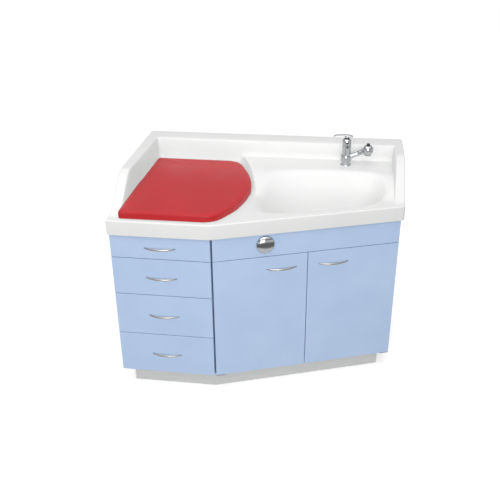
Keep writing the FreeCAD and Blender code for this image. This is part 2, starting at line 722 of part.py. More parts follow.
keep("tap_base", cut("tap_base", tap_rod("tap_base_ring", 0, 27, 6),
                     tap_rod("tap_base_bore", -1, 16, 8)))
keep("tap_column", fuse("tap_column", tap_rod("tap_barrel", 6, "sizes.tap_radius", 98),
                        tap_rod("tap_shank", -60, 15.9, 68)))
keep("tap_nut", cut("tap_nut", tap_rod("tap_nut_ring", -22, 26, 10),
                    tap_rod("tap_nut_bore", -30, 16, 30)))
tails = []
for side in (-1, 1):
    tails.append(rod("tap_tail_%d" % (side + 1),
                     ("sizes.tap_x + %d" % (side * 8), "sizes.tap_y", DECK_TOP + " - 300"),
                     5, 240))
keep("tap_tails", group("tap_tails", tails))

ARM_Z = 36
HEAD_X = 105
HEAD_Z = 81
arm_way = Vector(HEAD_X, 0, HEAD_Z - ARM_Z).normalize()
ARM_WAY = (arm_way.x, arm_way.y, arm_way.z)
HEAD_REACH = math.hypot(HEAD_X, HEAD_Z - ARM_Z)


def arm_rod(name, start, radius, length):
    """A round part along the arm, from a distance out from the tap's axis."""
    spot = arm_way * start
    return rod(name, ("sizes.tap_x + %s" % spot.x, "sizes.tap_y",
                      "%s + %s" % (DECK_TOP, ARM_Z + spot.z)), radius, length, ARM_WAY)


collar = tap_rod("arm_collar", ARM_Z - 14, 26, 28)
arm_outside = arm_rod("arm_outside", 0, 12, 62)
keep("spout_arm", cut("spout_arm", fuse("arm_solid", collar, arm_outside),
                      tap_rod("arm_turning_bore", ARM_Z - 20, "sizes.tap_radius + 0.05", 60),
                      arm_rod("arm_bore", 24, 8.05, 60)))
ball = doc.addObject("Part::Sphere", "shower_ball")
ball.Radius = 26
place(ball, "sizes.tap_x + %s" % HEAD_X, "sizes.tap_y", "%s + %s" % (DECK_TOP, HEAD_Z))


def head_rod(name, low, radius, length):
    """A round upright part of the hand shower, from a height above its centre."""
    return rod(name, ("sizes.tap_x + %s" % HEAD_X, "sizes.tap_y",
                      "%s + %s" % (DECK_TOP, HEAD_Z + low)), radius, length)


shower_neck = arm_rod("shower_neck", 62, 12, HEAD_REACH - 62)
shower_stem = arm_rod("shower_stem", 30, 8, 40)
keep("hand_shower", cut("hand_shower",
                        fuse("shower_solid", ball, shower_neck, shower_stem),
                        head_rod("shower_button_bore", 14, 8.05, 20),
                        head_rod("shower_face_recess", -30, 17, 7.5)))
keep("spray_face", head_rod("spray_face", -26.5, 16.9, 4))
keep("shower_button", head_rod("shower_button", 20, 8, 11))

hub_body = tap_rod("hub_blank", 104, "sizes.tap_radius", 30)
hub_round = eased("hub_round", hub_body, 7,
                  edges_at_top(hub_body, S["worktop_height"] + S["deck_rise"] + 134))
PIN_Z = 122
PIN_RADIUS = 2.5
hub_cup = cut("hub_cup", hub_round, tap_rod("hub_well", 112, 14, 30))


def hub_pin(name, radius, half):
    """A round bar across the hub on the lever's hinge axis."""
    return rod(name, ("sizes.tap_x", "sizes.tap_y - %s" % half, "%s + %s" % (DECK_TOP, PIN_Z)),
               radius, 2 * half, (0, 1, 0))


keep("tap_hub", fuse("tap_hub", hub_cup, hub_pin("hub_pin", PIN_RADIUS, 18)))
lever_bar = box("lever_blank", ("sizes.tap_x - 67", "sizes.tap_y - 12", DECK_TOP + " + 141"),
                (95, 24, 14))
lever_round = eased("lever_round", lever_bar, 5)
keep("tap_lever", cut("tap_lever", fuse("lever_solid", lever_round,
                                        tap_rod("lever_neck", 115, 7, 31)),
                      hub_pin("lever_bore", PIN_RADIUS + 0.05, 12)))

# ---------------------------------------------------------------- bath waste
BATH_FLOOR = "(sizes.worktop_height - sizes.bath_depth)"


def waste_rod(name, low, radius, length):
    """A round part on the waste's upright axis, from a height above the bath floor."""
    return rod(name, ("sizes.waste_x", "sizes.waste_y", "%s + %s" % (BATH_FLOOR, low)),
               radius, length)


keep("waste_flange", cut("waste_flange", waste_rod("flange_disc", 0, 35, 3),
                         waste_rod("flange_hole", -1, 18, 6)))
bridge = box("waste_bridge", ("sizes.waste_x - 20", "sizes.waste_y - 4", BATH_FLOOR + " - 50"),
             (40, 8, 12))
waste_tube = cut("waste_tube", waste_rod("waste_tube_outside", -92, 24, 92),
                 waste_rod("waste_tube_inside", -93, 18, 96))
keep("waste_body", cut("waste_body", fuse("waste_body_solid", waste_tube, bridge),
                       waste_rod("plug_guide", -60, 4.05, 40)))
keep("waste_plug", fuse("waste_plug", waste_rod("plug_cap", 3, 27, 6),
                        waste_rod("plug_stem", -56, 4, 60)))
trap_room = cut("trap_room", waste_rod("trap_outside", -180, 32, 88),
                waste_rod("trap_inside", -176, 28, 80),
                waste_rod("trap_mouth", -100, 18, 20))
pipe_z = "%s - 130" % BATH_FLOOR
pipe_bore = rod("trap_outlet", ("sizes.waste_x", "sizes.waste_y", pipe_z), 20, 60, (0, 1, 0))
keep("trap", cut("trap", trap_room, pipe_bore))
pipe_start = "sizes.waste_y + 24"
pipe_run = "sizes.wall_y - sizes.waste_y - 24"
slip_nut = rod("slip_nut", ("sizes.waste_x", "sizes.waste_y + 33", pipe_z), 26, 22, (0, 1, 0))
keep("waste_pipe", cut("waste_pipe",
                       fuse("pipe_outside",
                            rod("pipe_tube", ("sizes.waste_x", pipe_start, pipe_z), 20, pipe_run,
                                (0, 1, 0)), slip_nut),
                       rod("pipe_inside", ("sizes.waste_x", "sizes.waste_y", pipe_z), 17, 600,
                           (0, 1, 0))))

# The knob turns a spindle in a housing behind the fascia; a cable takes the
# turn to the waste and lifts the plug.
knob_blank = knob_rod("knob_blank", -3, "sizes.knob_radius", 22)
doc.recompute()
front_edges = []
for number, edge in enumerate(knob_blank.Shape.Edges, 1):
    bounds = edge.BoundBox
    if edge.Length > 200 and bounds.YMin < knob_blank.Shape.BoundBox.YMin + 2:
        front_edges.append(number)
knob_dome = eased("knob_dome", knob_blank, 13, front_edges[:1])
keep("waste_knob", fuse("waste_knob", knob_dome, knob_rod("knob_spindle", 34, 6, 40)))
housing = knob_rod("housing_outside", 44, 20, 26)
keep("waste_control", cut("waste_control", housing, knob_rod("housing_bore", 38, 6.05, 30)))

waste_out = Vector(S["waste_x"] - S["corner_x"], S["waste_y"] - S["corner_y"], 0)
waste_along = waste_out.x * math.cos(TURN) + waste_out.y * math.sin(TURN)
waste_inward = waste_out.y * math.cos(TURN) - waste_out.x * math.sin(TURN)
knob_along = S["knob_along"]
cable_level = S["knob_z"] - 85
reach = math.hypot(waste_along - knob_along, waste_inward - 62)
short = 1 - 24 / reach
points = []
for along, inward, level in (
        (knob_along, 44, S["knob_z"]), (knob_along, 62, S["knob_z"]),
        (knob_along, 62, cable_level),
        (knob_along + (waste_along - knob_along) * short, 62 + (waste_inward - 62) * short,
         cable_level)):
    x, y = face_point(along, inward)
    points.append(Vector(x, y, level))


def bent_route(corners, radius):
    """Straight runs joined by arcs that touch them."""
    edges = []
    start = corners[0]
    for i in range(1, len(corners) - 1):
        here = corners[i]
        back = (corners[i - 1] - here).normalize()
        ahead = (corners[i + 1] - here).normalize()
        half = back.getAngle(ahead) / 2
        bend = min(radius, (corners[i - 1] - here).Length * 0.9 * math.tan(half))
        reach = bend / math.tan(half)
        middle_way = (back + ahead).normalize()
        centre = here + middle_way * (bend / math.sin(half))
        first = here + back * reach
        last = here + ahead * reach
        edges.append(Part.makeLine(start, first))
        edges.append(Part.Arc(first, centre - middle_way * bend, last).toShape())
        start = last
    edges.append(Part.makeLine(start, corners[-1]))
    return Part.Wire(edges)


cable_route = doc.addObject("Part::Feature", "cable_route")
cable_route.Shape = bent_route(points, 30)
cable_section = doc.addObject("Part::Circle", "cable_section")
cable_section.Radius = 3
route_start = points[1] - points[0]
cable_section.Placement = FreeCAD.Placement(points[0], FreeCAD.Rotation(UP, route_start))
cable = doc.addObject("Part::Sweep", "waste_cable")
cable.Sections = [cable_section]
cable.Spine = (cable_route, [])
cable.Solid = True
cable.Frenet = False
keep("waste_cable", cable)

# ---------------------------------------------------------------- mat
# A soft D-shaped changing mat, straight at the left and front.
mat_right = Part.BSplineCurve()
mat_right.interpolate([
    Vector(-232, -398, 0), Vector(-198, -392, 0), Vector(-168, -374, 0), Vector(-136, -328, 0),
    Vector(-102, -262, 0), Vector(-76, -172, 0), Vector(-61, -85, 0), Vector(-59, -30, 0),
    Vector(-70, 44, 0), Vector(-92, 124, 0), Vector(-118, 192, 0), Vector(-145, 252, 0),
    Vector(-172, 286, 0), Vector(-204, 300, 0), Vector(-238, 303, 0)])
left, near, far, corner = -604, -398, 303, 14
bend = corner * (1 - math.sqrt(0.5))
mat_outline = [
    mat_right,
    Part.LineSegment(Vector(-238, far, 0), Vector(left + corner, far, 0)),
    Part.Arc(Vector(left + corner, far, 0), Vector(left + bend, far - bend, 0),
             Vector(left, far - corner, 0)),
    Part.LineSegment(Vector(left, far - corner, 0), Vector(left, near + corner, 0)),
    Part.Arc(Vector(left, near + corner, 0), Vector(left + bend, near + bend, 0),
             Vector(left + corner, near, 0)),
    Part.LineSegment(Vector(left + corner, near, 0), Vector(-232, near, 0)),
]
keep("mat", slab("mat", mat_outline, S["worktop_height"] + 0.3, "sizes.mat_thickness"))

# ---------------------------------------------------------------- write out
doc.recompute()
os.makedirs("parts", exist_ok=True)
for entry in os.listdir("parts"):
    os.remove(os.path.join("parts", entry))
for item in doc.Objects:
    if "Invalid" in item.State or "Error" in item.State:
        raise RuntimeError("%s did not build: %s" % (item.Name, item.State))
whole = FreeCAD.BoundBox()
for name, piece in NODES:
    shape = piece.Shape
    if shape.isNull() or not shape.isValid() or not shape.Solids:
        raise RuntimeError("%s is not a sound solid" % name)
    whole.add(shape.BoundBox)
    shape.exportStep("parts/%s.step" % name)
    print("%-24s %2d solid(s) %9.1f cm3" % (name, len(shape.Solids), shape.Volume / 1000))
print("pieces:", len(NODES))
print("overall:", whole)
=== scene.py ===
# %% [markdown]
# # A changing table with a bath
# This lesson dresses a finished CAD model for a studio shot. The
# CAD file already holds every board, drawer, hinge and pipe at its real place,
# so this script never moves one of them. It does three things: it remodels the
# few pieces whose looks need more than CAD gave them (the moulded top, the
# soft mat, the bow handles, the tap and the bath knob), it gives every piece a
# finish, and it sets the stage.

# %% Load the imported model
import json
import math

import bmesh
import bpy
import numpy as np
from mathutils import Matrix, Vector
from mathutils.bvhtree import BVHTree

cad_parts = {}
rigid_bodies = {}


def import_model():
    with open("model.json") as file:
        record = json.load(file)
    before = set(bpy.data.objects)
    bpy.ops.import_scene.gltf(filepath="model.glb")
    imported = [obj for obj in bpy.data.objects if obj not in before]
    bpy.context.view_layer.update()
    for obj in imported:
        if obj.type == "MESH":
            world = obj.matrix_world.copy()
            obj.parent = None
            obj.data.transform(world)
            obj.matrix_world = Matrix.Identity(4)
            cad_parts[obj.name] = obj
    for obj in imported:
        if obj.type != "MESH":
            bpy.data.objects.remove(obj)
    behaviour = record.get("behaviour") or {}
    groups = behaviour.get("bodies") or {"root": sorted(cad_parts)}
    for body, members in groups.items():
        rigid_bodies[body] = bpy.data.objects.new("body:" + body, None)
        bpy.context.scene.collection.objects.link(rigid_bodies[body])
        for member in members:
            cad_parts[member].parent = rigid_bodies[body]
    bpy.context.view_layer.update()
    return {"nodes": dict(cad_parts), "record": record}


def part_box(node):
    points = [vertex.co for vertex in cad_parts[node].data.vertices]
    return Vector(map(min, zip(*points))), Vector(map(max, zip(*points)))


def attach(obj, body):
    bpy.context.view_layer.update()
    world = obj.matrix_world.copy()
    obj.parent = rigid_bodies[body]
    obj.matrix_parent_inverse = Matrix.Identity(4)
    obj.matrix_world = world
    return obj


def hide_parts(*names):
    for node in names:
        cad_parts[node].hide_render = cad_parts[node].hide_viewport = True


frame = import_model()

MM = 0.001
nodes = frame["nodes"]

# %% [markdown]
# ## Small helpers
# A few actions come back for every piece: clearing the selection, starting
# edit mode with a chosen element type, picking faces or edges by a rule and
# putting a finished mesh's place into its points. Each is a short function.


# %% Selection and mesh helpers
def alone(piece):
    """Select one object only and make it active."""
    if bpy.context.mode != "OBJECT":
        bpy.ops.object.mode_set(mode="OBJECT")
    bpy.ops.object.select_all(action="DESELECT")
    piece.select_set(True)
    bpy.context.view_layer.objects.active = piece
    return piece


def named(name):
    """Name the object that an operator has just added."""
    piece = bpy.context.object
    piece.name = name
    piece.data.name = name
    return piece


def edit(piece, kind="FACE"):
    """Enter edit mode with nothing selected."""
    alone(piece)
    bpy.ops.object.mode_set(mode="EDIT")
    bpy.ops.mesh.select_mode(type=kind)
    bpy.ops.mesh.select_all(action="DESELECT")
    return bmesh.from_edit_mesh(piece.data)


def pick(mesh, items, rule):
    """Select the faces, edges or points that a rule is true for."""
    count = 0
    for item in items:
        chosen = bool(rule(item))
        item.select_set(chosen)
        count += chosen
    mesh.select_flush_mode()
    return count


def settle(piece):
    """Leave edit mode and put the object's place into its mesh."""
    alone(piece)
    bpy.ops.object.transform_apply(location=True, rotation=True, scale=True)
    return piece


def finish_modifier(piece, kind, **settings):
    """Add a modifier, set it and apply it."""
    alone(piece)
    modifier = piece.modifiers.new(kind.title(), kind)
    for key, value in settings.items():
        setattr(modifier, key, value)
    bpy.ops.object.modifier_apply(modifier=modifier.name)
    return piece


def smooth(piece, angle=35):
    """Shade smooth, but keep edges sharper than an angle."""
    alone(piece)
    bpy.ops.object.shade_smooth_by_angle(angle=math.radians(angle))
    return piece


def outward(piece):
    """Merge doubles and turn every face outwards."""
    edit(piece, "VERT")
    bpy.ops.mesh.select_all(action="SELECT")
    bpy.ops.mesh.remove_doubles(threshold=1e-6)
    bpy.ops.mesh.normals_make_consistent(inside=False)
    bpy.ops.object.mode_set(mode="OBJECT")
    return piece


# %% [markdown]
# ## Finishes
# Every finish is one node material built on the Principled shader. Colours are
# written as sRGB hex values, because that is how paint and laminate charts
# give them, and one function turns them to the linear values that Blender
# mixes in. One more function adds a node with its settings and its links, so
# that each finish reads as a short list of what its surface is made of.


# %% Colour and node helpers
def linear(code, alpha=1.0):
    """Turn an sRGB hex value into linear red, green and blue."""
    channels = []
    for i in (1, 3, 5):
        c = int(code[i:i + 2], 16) / 255
        channels.append(c / 12.92 if c <= 0.04045 else ((c + 0.055) / 1.055) ** 2.4)
    return (*channels, alpha)


def add(tree, kind, settings=None, links=None):
    """Add a node, set its values and properties, and link its inputs."""
    node = tree.nodes.new(kind)
    for key, value in (settings or {}).items():
        if key in node.inputs:
            node.inputs[key].default_value = value
        else:
            setattr(node, key, value)
    for key, source in (links or {}).items():
        tree.links.new(source, node.inputs[key])
    return node


def ramp(tree, source, low, high, at=(0.0, 1.0)):
    """Turn a 0 to 1 value into a mix of two colours."""
    node = add(tree, "ShaderNodeValToRGB", links={"Fac": source})
    for stop, place, colour in zip(node.color_ramp.elements, at, (low, high)):
        stop.position = place
        stop.color = colour
    return node.outputs["Color"]


def grey(value):
    """A plain grey for ramps that drive roughness or bump."""
    return (value, value, value, 1.0)


def start_finish(name, **sockets):
    """A new material: its node tree, its shader and its object coordinates."""
    material = bpy.data.materials.new(name)
    material.use_nodes = True
    tree = material.node_tree
    shader = tree.nodes["Principled BSDF"]
    for key, value in sockets.items():
        shader.inputs[key.replace("_", " ")].default_value = value
    place = add(tree, "ShaderNodeTexCoord").outputs["Object"]
    return material, tree, shader, place


def noise(tree, place, size_mm, detail=2.0, stretch=(1, 1, 1)):
    """A noise whose blobs are about size_mm across, stretched along an axis."""
    scaled = add(tree, "ShaderNodeMapping", {"Scale": stretch}, {"Vector": place})
    return add(tree, "ShaderNodeTexNoise", {"Scale": 1000 / size_mm, "Detail": detail},
               {"Vector": scaled.outputs["Vector"]}).outputs["Fac"]


def bump(tree, shader, heights, depth_mm):
    """Stack height fields, each with its real depth, into the shader's normal."""
    below = None
    for height, depth in zip(heights, depth_mm):
        node = add(tree, "ShaderNodeBump", {"Strength": 1.0, "Distance": depth * MM},
                   {"Height": height})
        if below is not None:
            tree.links.new(below, node.inputs["Normal"])
        below = node.outputs["Normal"]
    tree.links.new(below, shader.inputs["Normal"])


# %% [markdown]
# ### Gelcoat
# The top is glass-fibre composite with a white gelcoat: a hard polyester skin
# sprayed into a polished mould. It is glossy but never dead flat. Light shows
# a very shallow ripple from the fibres below, a finer orange peel, and a haze
# of cleaning marks where the gloss is a little lower.


# %% White gelcoat
def white_gelcoat():
    material, tree, shader, place = start_finish(
        "white_gelcoat", Roughness=0.34, IOR=1.5)
    cloud = noise(tree, place, 220, 2)
    colour = ramp(tree, cloud, linear("#E1E2E1"), linear("#E5E5E4"), (0.3, 0.7))
    tree.links.new(colour, shader.inputs["Base Color"])
    haze = ramp(tree, noise(tree, place, 45, 5), grey(0.32), grey(0.37), (0.35, 0.75))
    tree.links.new(haze, shader.inputs["Roughness"])
    bump(tree, shader, [noise(tree, place, 70, 1), noise(tree, place, 3, 1)], [0.08, 0.004])
    return material


# %% [markdown]
# ### Laminate and melamine boards
# The fronts are chipboard faced with a pale blue pressed laminate. Such a
# laminate is satin, with a fine pearl embossing about half a millimetre wide.
# That is too fine to show from across a room, so it is drawn at one and a half.
# The carcass boards have the same build in white, a little duller.


# %% Laminated boards
def board_finish(name, pale, deep, roughness, pearl_mm, pearl_depth):
    material, tree, shader, place = start_finish(name, Roughness=roughness, IOR=1.5)
    cloud = noise(tree, place, 160, 3)
    colour = ramp(tree, cloud, linear(deep), linear(pale), (0.3, 0.7))
    tree.links.new(colour, shader.inputs["Base Color"])
    rub = ramp(tree, noise(tree, place, 60, 4), grey(roughness - 0.06), grey(roughness + 0.06),
               (0.3, 0.7))
    tree.links.new(rub, shader.inputs["Roughness"])
    bump(tree, shader, [noise(tree, place, pearl_mm, 2)], [pearl_depth])
    return material


# %% [markdown]
# ### Plinth
# The plinth boards wear a metal-look laminate: a grey with fine lines brushed
# along the board. The lines follow the board because the noise is squeezed
# across it and stretched along it.


# %% Brushed plinth laminate
def plinth_laminate():
    material, tree, shader, place = start_finish(
        "plinth_laminate", Roughness=0.42, Metallic=0.1)
    lines = noise(tree, place, 1.6, 3, (0.02, 0.02, 1))
    colour = ramp(tree, lines, linear("#CDCECE"), linear("#E2E2E1"), (0.3, 0.7))
    tree.links.new(colour, shader.inputs["Base Color"])
    rough = ramp(tree, lines, grey(0.36), grey(0.5), (0.3, 0.7))
    tree.links.new(rough, shader.inputs["Roughness"])
    bump(tree, shader, [lines], [0.02])
    return material


# %% [markdown]
# ### Red vinyl
# The mat cover is plastic-coated cloth, often sold as wipe-clean vinyl. Its
# top is embossed with a fine leather grain of about two millimetres, which
# breaks the gloss into a broad pale sheen when light grazes it. A cell pattern
# gives the grain's pebbles, and a slow noise varies the sheen where hands and
# babies have polished it.


# %% Red vinyl
def red_vinyl():
    material, tree, shader, place = start_finish(
        "red_vinyl", Roughness=0.45, IOR=1.5)
    wear = noise(tree, place, 120, 4)
    colour = ramp(tree, wear, linear("#B70F1A"), linear("#BF1721"), (0.3, 0.7))
    tree.links.new(colour, shader.inputs["Base Color"])
    rough = ramp(tree, wear, grey(0.4), grey(0.5), (0.3, 0.75))
    tree.links.new(rough, shader.inputs["Roughness"])
    pebbles = add(tree, "ShaderNodeTexVoronoi", {"Scale": 1000 / 2.2, "Randomness": 1.0},
                  {"Vector": place}).outputs["Distance"]
    bump(tree, shader, [noise(tree, place, 35, 2), pebbles], [0.5, 0.05])
    return material


# %% [markdown]
# ### Metals
# Chrome plate on brass is a near mirror: its look comes from what stands
# around it, broken only by thin smears and water marks. The handles are
# satin nickel, brushed along their bow. Zinc plate, turned brass and drawn
# copper are rougher and stay inside the cabinet.


# %% Metals
def metal_finish(name, pale, deep, smooth_to, rough_to, mark_mm, depth, stretch=(1, 1, 1)):
    material, tree, shader, place = start_finish(name, Metallic=1.0)
    marks = noise(tree, place, mark_mm, 4, stretch)
    colour = ramp(tree, marks, linear(deep), linear(pale), (0.3, 0.7))
    tree.links.new(colour, shader.inputs["Base Color"])
    rough = ramp(tree, marks, grey(smooth_to), grey(rough_to), (0.35, 0.8))
    tree.links.new(rough, shader.inputs["Roughness"])
    bump(tree, shader, [marks], [depth])
    return material


# %% [markdown]
# ### Moulded and coated parts
# Powder coat on the steel drawer boxes has a faint orange peel. The trap and
# pipe are moulded white plastic. The small dark parts are matt black plastic
# with the spark texture of their mould. The same black also colours the corner
# strip behind the gap where the drawers meet the angled door; there it is
# painted shade, a black strip standing in for the shadow in that gap.


# %% Plastics and powder coat
def plain_finish(name, pale, deep, roughness, grain_mm, depth):
    material, tree, shader, place = start_finish(name, Roughness=roughness, IOR=1.47)
    mottle = noise(tree, place, 40, 3)
    colour = ramp(tree, mottle, linear(deep), linear(pale), (0.3, 0.7))
    tree.links.new(colour, shader.inputs["Base Color"])
    rough = ramp(tree, mottle, grey(roughness - 0.05), grey(roughness + 0.08), (0.3, 0.7))
    tree.links.new(rough, shader.inputs["Roughness"])
    bump(tree, shader, [noise(tree, place, grain_mm, 2)], [depth])
    return material


# %% Make every finish once, under the record's slot names
finishes = {
    "white_composite": white_gelcoat(),
    "blue_front": board_finish("blue_laminate", "#B9CEEC", "#B3C9E8", 0.42, 1.5, 0.02),
    "white_board": board_finish("white_melamine", "#F2F2F0", "#ECECEA", 0.5, 2.0, 0.02),
    "plinth_board": plinth_laminate(),
    "red_vinyl": red_vinyl(),
    "chrome": metal_finish("chrome_plate", "#C6C8CB", "#BDC0C3", 0.04, 0.12, 14, 0.004),
    "satin_steel": metal_finish("satin_nickel", "#CFCDC8", "#BDBBB6", 0.24, 0.36, 0.8, 0.01,
                                (0.06, 1, 1)),
    "zinc_steel": metal_finish("zinc_plate", "#C6C9CB", "#AEB2B6", 0.3, 0.5, 9, 0.02),
    "brass": metal_finish("turned_brass", "#D9B36A", "#C49C52", 0.2, 0.34, 0.7, 0.01,
                          (0.1, 0.1, 1)),
    "copper": metal_finish("drawn_copper", "#D08B66", "#B87350", 0.25, 0.42, 7, 0.01),
    "coated_steel": plain_finish("powder_coat", "#DDDEDF", "#D5D6D8", 0.38, 1.8, 0.03),
    "white_plastic": plain_finish("moulded_plastic", "#EDEDEB", "#E6E6E3", 0.3, 2.5, 0.01),
    # black_plastic also colours the corner strip behind the drawer and door gap: painted shade, a
    # black strip where the gap is only in shadow.
    "black_plastic": plain_finish("black_plastic", "#1C1D20", "#121315", 0.5, 1.0, 0.03),
}


def wear(piece, slot_name):
    """Put a finish on every slot of a piece."""
    piece.data.materials.clear()
    piece.data.materials.append(finishes[slot_name])
    for face in piece.data.polygons:
        face.material_index = 0


slot_of = {entry["node"]: entry["material_slot"] for entry in frame["record"]["subparts"]}
for name, node in nodes.items():
    wear(node, slot_of[name])
print("finishes:", len(finishes))

# %% [markdown]
# ## The moulded top
# The real top is one moulding about six millimetres thick. Its surface flows:
# a ledge runs round three sides, its inner wall drops with a rounded edge and
# sweeps into the changing place with a wide cove, the side walls fall to the
# rim in an S, a raised deck carries the tap, and the deck rolls over into the
# bath. Booleans give such a thing hard creases, and a voxel remesh softens
# everything alike. So it is made the way a mould maker cuts it: one sheet of
# points over the plan, each lifted to the height of the mould below it. The
# sheet's rows and columns are not even. They stand close together where the
# surface turns, so that an 8 mm edge is as round as a 50 mm cove.

# %% Plan of the top
top_low, top_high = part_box("worktop")
HALF = top_high.x
WALL_Y = top_high.y
CREST = top_high.z
SPLASH = 140 * MM
RIM_TOP = CREST - SPLASH
RIM_DEEP = 70 * MM
RIM_FOOT = RIM_TOP - RIM_DEEP
FRONT_Y = top_low.y
TURN = math.radians(20)
CORNER_X = -193 * MM
CORNER_SOFT = 9 * MM


def front_line(x):
    """The rim's front edge: straight, then turned back by twenty degrees."""
    past = (x - CORNER_X) / CORNER_SOFT
    return FRONT_Y + math.tan(TURN) * CORNER_SOFT * np.logaddexp(0, past)


def ease(t):
    """A soft step from 0 to 1."""
    t = np.clip(t, 0, 1)
    return t * t * (3 - 2 * t)


print("rim top at %.0f mm, crest at %.0f mm" % (RIM_TOP / MM, CREST / MM))

# %% [markdown]
# The splash wall has one section everywhere: level ledge, rounded edge,
# slightly drafted wall, cove. It is written as a share of the wall's height,
# so that the same section also works where the side walls run down to nothing.

# %% Section of the splash wall
EDGE_ROUND = 11 * MM
DRAFT = 6 * MM
SIDE_LEDGE = 38 * MM
RIGHT_LEDGE = 32 * MM
BACK_LEDGE = 103 * MM
WIDE_COVE = 48 * MM
TIGHT_COVE = 20 * MM
LEFT_FALL = (-384 * MM, -120 * MM)
RIGHT_FALL = (-95 * MM, 205 * MM)


def wall_section(inside, cove):
    """Share of the full height at a distance inside the ledge's edge."""
    d = np.asarray(inside)
    edge = 1 - (EDGE_ROUND - np.sqrt(np.clip(EDGE_ROUND ** 2 - np.clip(d, 0, EDGE_ROUND) ** 2,
                                             0, None))) / SPLASH
    foot = EDGE_ROUND + DRAFT
    drop = (d - EDGE_ROUND) / DRAFT
    wall = (1 - EDGE_ROUND / SPLASH) * (1 - drop) + cove / SPLASH * drop
    run = np.clip(d - foot, 0, cove)
    curve = (cove - np.sqrt(np.clip(cove ** 2 - (cove - run) ** 2, 0, None))) / SPLASH
    return np.where(d <= 0, 1.0, np.where(d < EDGE_ROUND, edge, np.where(d < foot, wall, curve)))


def flare(y):
    """How much wider the left ledge is towards the back."""
    return 13 * MM * np.clip((y + 0.12) / 0.45, 0, 1.2) - 2 * MM


def side_fall(y, foot, shoulder):
    """Share of the full height along a side wall: the S-shaped fall."""
    return ease((y - foot) / (shoulder - foot))


# %% [markdown]
# The deck behind the bath is level near the wall. Its left end is a curved
# step that follows the mat's rounded corner, and towards the front it falls
# away until it meets the flat land between mat and bath.

# %% The deck and its curved step
DECK_RISE = 58 * MM
STEP = [(-208, 352), (-176, 327), (-150, 298), (-132, 262), (-84, 124), (-50, 10), (-28, -75),
        (-20, -140)]


def along_curve(points, steps=12):
    """Points of a smooth curve through a few given ones."""
    p = np.array([points[0]] + list(points) + [points[-1]], float) * MM
    out = []
    for i in range(1, len(p) - 2):
        for t in np.linspace(0, 1, steps, endpoint=False):
            out.append(0.5 * (2 * p[i] + (p[i + 1] - p[i - 1]) * t
                              + (2 * p[i - 1] - 5 * p[i] + 4 * p[i + 1] - p[i + 2]) * t * t
                              + (3 * p[i] - p[i - 1] - 3 * p[i + 1] + p[i + 2]) * t ** 3))
    out.append(p[-2])
    return np.array(out)


def beside_curve(x, y, curve):
    """Signed distance to a curve, positive on its right-hand side going down."""
    best = np.full(x.shape, 1e9)
    for a, b in zip(curve[:-1], curve[1:]):
        run = b - a
        length = float(run @ run)
        t = np.clip(((x - a[0]) * run[0] + (y - a[1]) * run[1]) / length, 0, 1)
        dx = x - a[0] - t * run[0]
        dy = y - a[1] - t * run[1]
        gap = np.hypot(dx, dy)
        side = np.sign(run[1] * dx - run[0] * dy)
        closer = gap < np.abs(best)
        best = np.where(closer, -side * gap, best)
    return best


step_curve = along_curve(STEP)


def deck_height(x, y):
    """Height of the deck above the changing place."""
    onto = ease(beside_curve(x, y, step_curve) / (16 * MM) + 0.5)
    forward = ease((y / MM + 75) / 235)
    return DECK_RISE * onto * forward


# %% [markdown]
# The bath is a large soft bowl. Four lines bound it: straight behind and on
# the right, parallel to the angled rim in front. A soft minimum of the four
# distances rounds its corners, and one curve turns that distance into depth:
# a rolled lip, a steep side, a wide cove and a nearly flat floor.

# %% The bath
BATH_DEPTH = 158 * MM
BATH_BACK = 170 * MM
BATH_RIGHT = 594 * MM
BATH_LEFT = -36 * MM
BATH_FRONT = 46 * MM
BATH_CORNER = 52 * MM


def inside_bath(x, y):
    """Distance inside the bath's lip, with rounded corners."""
    behind_rim = ((y - FRONT_Y) - (x - CORNER_X) * math.tan(TURN)) * math.cos(TURN)
    gaps = [(BATH_BACK - y) * 0.62, (BATH_RIGHT - x) * 0.95, (x - BATH_LEFT) * 0.5,
            (behind_rim - BATH_FRONT) * 0.9]
    total = sum(np.exp(-np.clip(gap, -0.4, 2) / BATH_CORNER) for gap in gaps)
    return -BATH_CORNER * np.log(total)


samples = np.linspace(0, 0.2, 400)
slope = ease(samples / 0.03) * (1 - ease((samples - 0.038) / 0.085)) + 0.006
side = np.concatenate([[0], np.cumsum((slope[1:] + slope[:-1]) / 2)])
side /= side[-1]


def bath_share(x, y):
    """Share of the bath's depth reached at a point."""
    return np.interp(inside_bath(x, y) + 0.012, samples, side)


def soft_max(one, other, blend):
    """The larger of two heights, with a fillet where they cross."""
    reach = np.minimum(blend, 2 * np.maximum(one, other))
    near = np.clip(reach - np.abs(one - other), 0, None)
    return np.maximum(one, other) + near ** 2 / (4 * np.maximum(reach, 1e-9))


def top_height(x, y):
    """Height of the moulded surface over the plan."""
    left = wall_section(x + HALF - SIDE_LEDGE - flare(y), WIDE_COVE) * side_fall(y, *LEFT_FALL)
    right = wall_section(HALF - RIGHT_LEDGE - x, TIGHT_COVE) * side_fall(y, *RIGHT_FALL)
    back = wall_section(WALL_Y - BACK_LEDGE - y, WIDE_COVE) + 0 * x
    walls = SPLASH * (1 - (1 - left) * (1 - right) * (1 - back))
    land = soft_max(walls, deck_height(x, y), 30 * MM)
    share = bath_share(x, y)
    return RIM_TOP + land - (land + BATH_DEPTH) * share


# %% [markdown]
# Now the sheet itself. A grid is added with as many points as the rows and
# columns need, and its points are then put over the plan. Rows follow the
# front edge at the front and the wall at the back. The outer corners are
# rounded in plan by pulling the square corner patches into quarter discs.

# %% Rows and columns
OUTER_ROUND = 6 * MM
PLAN_ROUND = 8 * MM


def turn_in(radius, count):
    """Distances in from an edge that make a quarter round of even steps."""
    return [radius * (1 - math.cos(math.radians(90 * i / count))) for i in range(count + 1)]


